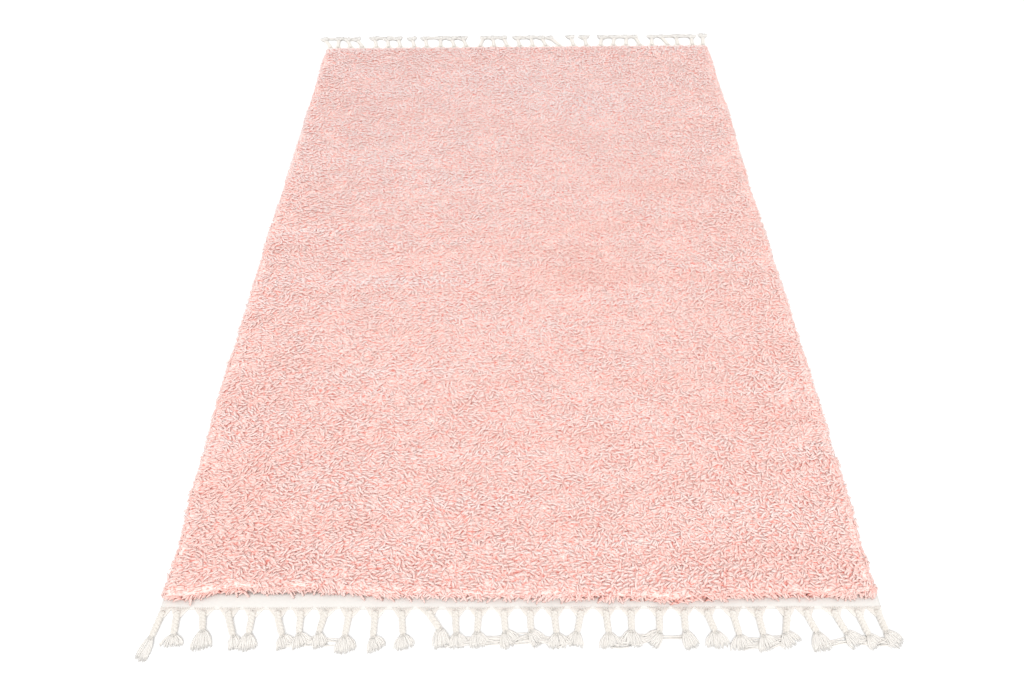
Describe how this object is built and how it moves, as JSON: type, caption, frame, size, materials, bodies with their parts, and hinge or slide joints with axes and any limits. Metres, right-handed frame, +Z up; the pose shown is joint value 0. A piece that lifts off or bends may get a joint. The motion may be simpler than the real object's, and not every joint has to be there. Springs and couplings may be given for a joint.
{
  "type": "shag rug",
  "caption": "Rectangular shag rug lying flat, with a deep pink yarn pile, a cream flat-woven heading at each short end and a row of cream plaited tassels beyond it.",
  "frame": {"origin": "middle of the underside, on the floor", "axes": "+Z up out of the pile, +Y along the rug's length towards its far end, +X across its width to the right"},
  "size_m": [1.668, 2.5078, 0.03],
  "materials": {
    "pile_yarn": "matte",
    "heading_weave": "matte",
    "fringe_yarn": "matte"
  },
  "bodies": {
    "root": {"rug_pile": "pile_yarn", "band_near": "heading_weave", "band_far": "heading_weave", "fringe_near": "fringe_yarn", "fringe_far": "fringe_yarn"}
  },
  "joints": []
}
